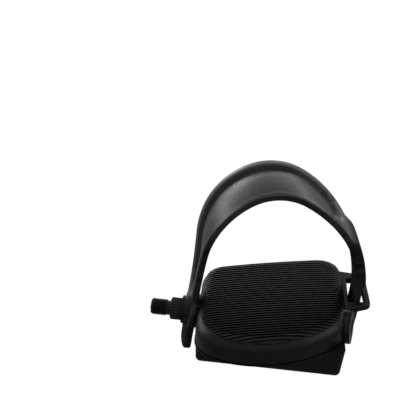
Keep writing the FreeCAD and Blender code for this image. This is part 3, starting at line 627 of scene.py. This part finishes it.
def flare_half(level):
    """Half width of the strap at a height: narrow legs, an S curve, then the wide top."""
    span = FLARE_HIGH - FLARE_LOW
    gain = TOP_HALF - LEG_HALF
    sweep = (span ** 2 + gain ** 2) / (4 * gain)
    rise = min(max(level - FLARE_LOW, 0.0), span)
    if rise < span / 2:
        return LEG_HALF + sweep - math.sqrt(sweep ** 2 - rise ** 2)
    return TOP_HALF - sweep + math.sqrt(sweep ** 2 - (span - rise) ** 2)


def rim_width(level):
    """Width of the raised rim at a height: narrow on the legs, wide over the foot."""
    return LEG_RIM + (TOP_RIM - LEG_RIM) * smooth_step((level - FLARE_LOW) / (FLARE_HIGH - FLARE_LOW))


def in_eye(station):
    """Whether a row of the sheet belongs to the eye about the hub."""
    return abs(station.distance - INNER_TAIL) <= EYE_RADIUS


def in_slot(station, side):
    """Whether a place on the outer leg lies in one of its slots."""
    level = min(abs(station.point.y - slot) for slot in SLOT_LEVELS)
    return station.outer and level < SLOT_HIGH / 2 and abs(side) < SLOT_WIDE / 2


def strap_half(station):
    """Half width of the strap, with its eye and its rounded ends."""
    if in_eye(station):
        return EYE_RADIUS
    half = flare_half(station.point.y)
    end = min(station.distance, STRAP_LENGTH - station.distance)
    if end < TAIL_ROUND:
        half -= TAIL_ROUND - math.sqrt(TAIL_ROUND ** 2 - (TAIL_ROUND - end) ** 2)
    return half


def tip_reach(point):
    """Place on the outer shoulder between the end of the panel's sides, at 0, and its tip, at 1."""
    return (point.x - PANEL_SQUARE) / (PANEL_TIP - PANEL_SQUARE)


def panel_half(station):
    """Half width of the sunken panel, which closes on the outer shoulder and above the hub."""
    point = station.point
    half = flare_half(point.y) - rim_width(point.y)
    if not station.outer:
        return half * math.sqrt(smooth_step((point.y - PANEL_FOOT) / (PANEL_TAPER - PANEL_FOOT)))
    if point.y <= PAD_LOW:
        return 0.0
    reach = min(max(tip_reach(point), 0.0), 1.0)
    return min(half, TOP_HALF * math.sqrt(1 - reach ** 2))


def panel_inset(station, side):
    """Distance inside the panel's border, measured along the strap as well at the panel's two ends."""
    point = station.point
    if not station.outer:
        return min(panel_half(station) - abs(side), point.y - PANEL_FOOT)
    if point.y < PAD_LOW:
        return OFF_PANEL
    inset = flare_half(point.y) - rim_width(point.y) - abs(side)
    if point.x > PANEL_SQUARE:
        past_border = math.hypot(tip_reach(point), side / TOP_HALF)
        inset = min(inset, (PANEL_TIP - PANEL_SQUARE) * (1 - past_border))
    return inset


def strap_guide(station):
    """Half width of the feature that the columns follow: the hub hole, the panel or the slots."""
    if in_eye(station):
        return EYE_SQUARE
    guide = max(panel_half(station), SLOT_WIDE / 2)
    if station.outer:
        faded = smooth_step((tip_reach(station.point) - TIP_GUIDE_START) / TIP_GUIDE_FADE)
        guide = max(guide, TIP_GUIDE * (1 - faded))
    return guide


def strap_columns(half, guide):
    """Places across the strap, from one edge to the other, gathered at the edges and at a guide line."""
    left = [-half + step for step in EDGE_STEPS]
    gap = half - EDGE_STEPS[-1] - guide - GUIDE_STEPS[0]
    left += [left[-1] + gap * share for share in FILL_SHARES]
    left += [-guide - step for step in GUIDE_STEPS]
    inner = -left[-1]
    middle = [inner * (2 * index / MIDDLE_COLUMNS - 1) for index in range(1, MIDDLE_COLUMNS)]
    return left + middle + [-place for place in reversed(left)]


def edge_drop(edge, round_size):
    """How far a rounded edge falls at a distance from the strap's side."""
    deep, wide = round_size
    return deep * (1 - min(edge / wide, 1.0)) ** 2


def upper_face(station, side, edge):
    """Height of the upper face over the path: sloped rims, ledge, sunken panel, and pad on the outer leg."""
    point = station.point
    panel = max(panel_half(station), PANEL_LEAST)
    inward = panel_inset(station, side)
    ledge = border_step(inward + LEDGE_WIDE, PANEL_WALL)
    wall = border_step(inward, PANEL_WALL)
    sunk = LEDGE_SHARE * ledge + (1 - LEDGE_SHARE) * wall
    rim = STRAP_OUTSIDE - RIM_SLOPE * max(rim_width(point.y) - edge, 0.0)
    crown = PANEL_CROWN * max(1 - (side / panel) ** 2, 0.0) * min(panel / PANEL_CROWN_HALF, 1.0)
    floor = PANEL_FLOOR + crown
    pad = 0.0
    if station.outer:
        floor -= TIP_SINK * smooth_step(tip_reach(point))
        low_end = border_step(point.y - PAD_LOW, PAD_LOW_BLEND)
        high_end = border_step(PAD_HIGH - point.y, PAD_HIGH_BLEND)
        pad = PAD_RISE * low_end * high_end
    return rim + (floor - rim) * sunk - edge_drop(edge, UPPER_ROUND) + pad


def crest_highlight_share(station, side):
    """How much painted highlight the upper face takes: most along the crest where the ledge begins."""
    crest = panel_inset(station, side) + LEDGE_WIDE + PANEL_WALL / 2
    return max(1 - abs(crest) / CREST_WIDE, 0.0)


def dull_and_shade_share(level, outer):
    """How matte the strap is at a height, where a cut in shine paints shade: its legs are matte and its top
    shines.
    """
    start, blend = DULL_OUTER if outer else DULL_INNER
    return 1 - smooth_step((level - start) / blend)


def eye_pull(along, side):
    """Scale that turns the sheet's squares about the hub into the eye's rings."""
    square = max(abs(along), abs(side))
    outward = (square - EYE_SQUARE) / (EYE_RADIUS - EYE_SQUARE)
    radius = HUB_HOLE + outward * (EYE_RADIUS - HUB_HOLE)
    return radius / math.hypot(along, side)


def sheet_spot(place, layout):
    """Row and column of a place on the flat sheet, which runs from -1 to 1 both ways."""
    return (place.x + 1) / 2 * (len(layout) - 1), (place.y + 1) / 2 * (len(layout[0]) - 1)


def cut_holes(bm, stations, layout):
    """Takes the hub hole and the slots out of the flat sheet, and gives the spots around the hub hole."""
    holes = []
    for face in bm.faces:
        row, column = (int(value) for value in sheet_spot(face.calc_center_median(), layout))
        side = (layout[row][column] + layout[row][column + 1]) / 2
        along = (stations[row].distance + stations[row + 1].distance) / 2 - INNER_TAIL
        if max(abs(along), abs(side)) < EYE_SQUARE or in_slot(stations[row], side):
            holes.append(face)
    bmesh.ops.delete(bm, geom=holes, context="FACES")
    hub_spots = set()
    for vert in bm.verts:
        row, column = (round(value) for value in sheet_spot(vert.co, layout))
        near_hub = abs(stations[row].distance - INNER_TAIL) < EYE_SQUARE + HUB_HOLE_MARGIN
        if vert.is_boundary and near_hub and 0 < column < len(layout[0]) - 1:
            hub_spots.add((row, column))
    return hub_spots


def bend_strap(bm, stations, layout, hub_spots):
    """Moves the thick sheet's vertices to their places on the strap, and fills its masks and its UV map."""
    leaned = Matrix.Translation((STRAP_X, 0, 0)) @ Matrix.Rotation(math.radians(STRAP_YAW), 4, "Z")
    leaned = leaned @ Matrix.Rotation(math.radians(-STRAP_TILT), 4, "X")
    levels = [vert.co.z for vert in bm.verts]
    split = (min(levels) + max(levels)) / 2
    dull_and_shaded = bm.verts.layers.float.new("dull_and_shaded")
    crest_highlight = bm.verts.layers.float.new("crest_highlight")
    sheet = bm.loops.layers.uv.new("sheet")
    for vert in bm.verts:
        row, column = (round(value) for value in sheet_spot(vert.co, layout))
        station = stations[row]
        side = layout[row][column]
        edge = strap_half(station) - abs(side)
        if vert.co.z > split:
            offset = upper_face(station, side, edge)
            # The crest's painted highlight lies on the upper face.
            vert[crest_highlight] = crest_highlight_share(station, side)
        else:
            offset = STRAP_INSIDE + edge_drop(edge, LOWER_ROUND)

        point, lean = station.point, station.lean
        along = station.distance - INNER_TAIL
        if in_eye(station):
            pull = eye_pull(along, side)
            point, lean = walk_strap(INNER_TAIL + along * pull)
            side *= pull
        # Matte share, whose cut shine paints shade on the legs.
        vert[dull_and_shaded] = dull_and_shade_share(point.y, station.outer)
        for corner in vert.link_loops:
            corner[sheet].uv = (station.distance * MM, side * MM)

        across = side - STRAP_SHIFT * smooth_step(abs(along) / STRAP_SHIFT_RUN)
        over = point + Vector((-math.cos(lean), math.sin(lean))) * offset
        vert.co = leaned @ Vector((over.x, across, over.y))
        if (row, column) in hub_spots:
            around = Vector((0, vert.co.y, vert.co.z))
            vert.co += around.normalized() * (HUB_HOLE - around.length)


def make_strap():
    """Moulded strap: a flat sheet with its holes, given thickness, then shaped and bent along the arch."""
    stations = strap_stations()
    layout = [strap_columns(strap_half(station), strap_guide(station)) for station in stations]
    bm = bmesh.new()
    bmesh.ops.create_grid(bm, x_segments=STRAP_ROWS, y_segments=len(layout[0]) - 1, size=1.0)
    hub_spots = cut_holes(bm, stations, layout)
    bmesh.ops.solidify(bm, geom=bm.faces[:], thickness=SHEET_THICKNESS)
    bend_strap(bm, stations, layout, hub_spots)
    finish_piece("strap_moulded", bm, "pedal", "strap", STRAP_RUBBER, STRAP_SHARP)


def add_screw(bm, x, y, head, tip):
    """Screw from below: domed head with a cross recess, plain shank."""
    under, seat = head
    high = seat - under
    others = set(bm.verts)
    disc = bmesh.ops.create_circle(bm, cap_ends=True, segments=HEAD_SEGMENTS, radius=HEAD_RADIUS)
    bmesh.ops.translate(bm, vec=(0, 0, seat), verts=disc["verts"])
    face = disc["verts"][0].link_faces[0]
    for drop, growth in HEAD_STEPS:
        face, brim = extend_face(bm, face, (0, 0, -drop * high), (growth, growth, 1))
    for vert in brim:
        short_way, long_way = sorted((abs(vert.co.x), abs(vert.co.y)))
        vert.co.xy *= min(RECESS_ARM / long_way, RECESS_HALF / max(short_way, MERGE_DISTANCE))
    extend_face(bm, face, (0, 0, RECESS_DEPTH * high), (RECESS_TAPER, RECESS_TAPER, 1))
    shank = bmesh.ops.create_cone(
        bm, cap_ends=True, segments=SHANK_SEGMENTS, radius1=SCREW_RADIUS, radius2=SCREW_RADIUS * SCREW_TAPER,
        depth=tip - seat)
    bmesh.ops.translate(bm, vec=(0, 0, (tip + seat) / 2), verts=shank["verts"])
    bmesh.ops.translate(bm, vec=(x, y, 0), verts=[vert for vert in bm.verts if vert not in others])


def make_screws(name, node, spots, head, tip):
    """A group of like screws, one at each spot."""
    bm = bmesh.new()
    for x, y in spots:
        add_screw(bm, x, y, head, tip)
    finish_piece(name, bm, "pedal", node, PLATED_STEEL)


def make_dust_cap():
    """Dished cap with a raised ring, pressed into the barrel's end."""
    bm = bmesh.new()
    dish_floor = CAP_FACE - DISH_DEPTH
    inner_face = CAP_FACE - CAP_THICK
    turn_profile(bm, [
        (dish_floor, 0.0),
        *((dish_floor + rise, DISH_RADIUS + out) for out, rise in DISH_SIDE),
        (CAP_FACE, CAP_RADIUS - CAP_ROUND),
        (CAP_FACE - CAP_ROUND_MIDDLE, CAP_RADIUS - CAP_ROUND_MIDDLE),
        (CAP_FACE - CAP_ROUND, CAP_RADIUS),
        (CAP_BACK + CAP_CHAMFER, CAP_RADIUS),
        (CAP_BACK, CAP_RADIUS - CAP_CHAMFER),
        (CAP_BACK, CAP_RADIUS - CAP_WALL),
        (inner_face, CAP_RADIUS - CAP_WALL),
        (inner_face, 0.0),
    ], CAP_SEGMENTS)
    finish_piece("dust_cap_dished", bm, "pedal", "dust_cap", MOULDING)


make_spindle()
make_strap()
make_screws("housing_screws_cross", "housing_screws", HOUSING_SPOTS, HOUSING_HEAD, HOUSING_TIP)
make_screws("weight_screws_cross", "counterweight_screws", WEIGHT_SPOTS, WEIGHT_HEAD, WEIGHT_TIP)
make_dust_cap()

NODE_FINISH = {
    "pedal_body": MOULDING,
    "weight_housing": MOULDING,
    "inner_seal": SEAL_RUBBER,
    "counterweight": BAR_STEEL,
    "inner_cup": PLATED_STEEL,
    "inner_balls": PLATED_STEEL,
    "outer_cup": PLATED_STEEL,
    "outer_balls": PLATED_STEEL,
    "outer_cone": PLATED_STEEL,
    "tab_washer": PLATED_STEEL,
    "lock_nut": PLATED_STEEL,
}
for node, finish in NODE_FINISH.items():
    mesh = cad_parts[node].data
    mesh.materials.clear()
    mesh.materials.append(finish)

# Floor: half its side in metres, the paper's grey for other rays and for the camera, and its share of white.
FLOOR_HALF = 6.0
PAPER_UNSEEN = (0.22, 0.22, 0.22, 1)
PAPER_SEEN = (0.9, 0.9, 0.9, 1)
WHITE_SHARE = 0.8
WHITE_IN_GLOSS = 0.15


def floor_material():
    """Paper that the camera sees as white with part of the shadow kept, and that gloss mirrors faintly."""
    material = bpy.data.materials.new("floor_white")
    material.use_nodes = True
    tree = material.node_tree
    tree.nodes.clear()
    out = add_node(tree, "ShaderNodeOutputMaterial", (600, 0))
    blend = add_node(tree, "ShaderNodeMixShader", (400, 0))
    paper = add_node(tree, "ShaderNodeMix", (-150, 250), data_type="RGBA", A=PAPER_UNSEEN, B=PAPER_SEEN)
    matte = add_node(tree, "ShaderNodeBsdfDiffuse", (100, 100))
    white = add_node(tree, "ShaderNodeEmission", (100, -100), Strength=1.0)
    path = add_node(tree, "ShaderNodeLightPath", (-500, 0))
    seen = add_node(tree, "ShaderNodeMath", (-250, 0), operation="MAXIMUM")
    mirrored = add_node(tree, "ShaderNodeMath", (-300, -150), operation="MULTIPLY")
    mirrored.inputs[1].default_value = WHITE_IN_GLOSS
    either = add_node(tree, "ShaderNodeMath", (-50, 0), operation="MAXIMUM")
    share = add_node(tree, "ShaderNodeMath", (150, 250), operation="MULTIPLY")
    share.inputs[1].default_value = WHITE_SHARE
    wire(
        tree,
        (path, "Is Camera Ray", paper, "Factor"),
        (paper, "Result", matte, "Color"),
        (path, "Is Camera Ray", seen, 0),
        (path, "Is Transmission Ray", seen, 1),
        (path, "Is Glossy Ray", mirrored, 0),
        (seen, "Value", either, 0),
        (mirrored, "Value", either, 1),
        (either, "Value", share, 0),
        (share, "Value", blend, "Fac"),
        (matte, "BSDF", blend, 1),
        (white, "Emission", blend, 2),
        (blend, "Shader", out, "Surface"),
    )
    return material


def make_floor():
    """Pale floor, just below the pedal's whole turn about its spindle."""
    reach = math.hypot(max(abs(cad_low.y), abs(cad_high.y)), max(abs(cad_low.z), abs(cad_high.z)))
    bm = bmesh.new()
    bmesh.ops.create_grid(bm, x_segments=1, y_segments=1, size=FLOOR_HALF)
    bmesh.ops.translate(bm, vec=(0, 0, -reach), verts=bm.verts[:])
    mesh = bpy.data.meshes.new("floor")
    bm.to_mesh(mesh)
    bm.free()
    mesh.materials.append(floor_material())
    floor = bpy.data.objects.new("floor", mesh)
    bpy.context.scene.collection.objects.link(floor)


make_floor()


def add_softbox(name, spot, aim, size, watts):
    """Rectangular area light at a spot, turned to what it lights."""
    light = bpy.data.lights.new(name, "AREA")
    light.shape = "RECTANGLE"
    light.size, light.size_y = size
    light.energy = watts
    lamp = bpy.data.objects.new(name, light)
    lamp.location = spot
    lamp.rotation_mode = "QUATERNION"
    lamp.rotation_quaternion = (Vector(aim) - Vector(spot)).to_track_quat("-Z", "Y")
    bpy.context.scene.collection.objects.link(lamp)


# Soft studio light, in metres and watts: most of it comes low from behind and from the sides.
CENTRE = (0.075, 0.01, 0.04)
BEHIND_LEFT = (-0.1, 0.2, -0.08)
add_softbox("overhead", spot=(0.0, 0.3, 1.2), aim=CENTRE, size=(0.9, 0.7), watts=2.0)
add_softbox("low_back", spot=(0.1, 1.5, 0.18), aim=CENTRE, size=(2.2, 0.22), watts=3.0)
add_softbox("right_side", spot=(1.1, -0.1, 0.5), aim=CENTRE, size=(0.6, 0.8), watts=4.0)
add_softbox("back_left", spot=(-0.6, 0.92, 0.06), aim=BEHIND_LEFT, size=(0.8, 0.3), watts=1.6)
add_softbox("left_side", spot=(-1.0, 0.4, 0.5), aim=CENTRE, size=(0.5, 0.6), watts=5.0)

WORLD_STRENGTH = 0.85
world = bpy.data.worlds.new("studio")
world.use_nodes = True
backdrop = world.node_tree.nodes["Background"]
backdrop.inputs["Color"].default_value = (1, 1, 1, 1)
backdrop.inputs["Strength"].default_value = WORLD_STRENGTH
bpy.context.scene.world = world

# Camera at the photograph's angle, far away for its flat perspective, in pixels, degrees and metres.
IMAGE_WIDTH = 400
PIXELS_PER_MM = 1.315
ORIGIN_PIXEL = (171.3, 307.9)
AZIMUTH = 10.2
ELEVATION = 35.0
DISTANCE = 3.0
SENSOR_WIDTH = 36.0
CLIP_END = 50.0

camera = bpy.data.cameras.new("camera")
camera.sensor_width = SENSOR_WIDTH
camera.lens = SENSOR_WIDTH * DISTANCE * PIXELS_PER_MM / (IMAGE_WIDTH * MM)
camera.clip_end = CLIP_END
turn = math.radians(AZIMUTH)
lift = math.radians(ELEVATION)
back = Vector((math.sin(turn) * math.cos(lift), -math.cos(turn) * math.cos(lift), math.sin(lift)))
right = Vector((math.cos(turn), math.sin(turn), 0))
up = back.cross(right)
pixel = MM / PIXELS_PER_MM
half_frame = IMAGE_WIDTH / 2
aim = right * ((half_frame - ORIGIN_PIXEL[0]) * pixel) + up * ((ORIGIN_PIXEL[1] - half_frame) * pixel)
eye = bpy.data.objects.new("camera", camera)
eye.location = aim + back * DISTANCE
eye.rotation_mode = "QUATERNION"
eye.rotation_quaternion = (-back).to_track_quat("-Z", "Y")
bpy.context.scene.collection.objects.link(eye)
bpy.context.scene.camera = eye
bpy.context.scene.view_settings.view_transform = "Standard"
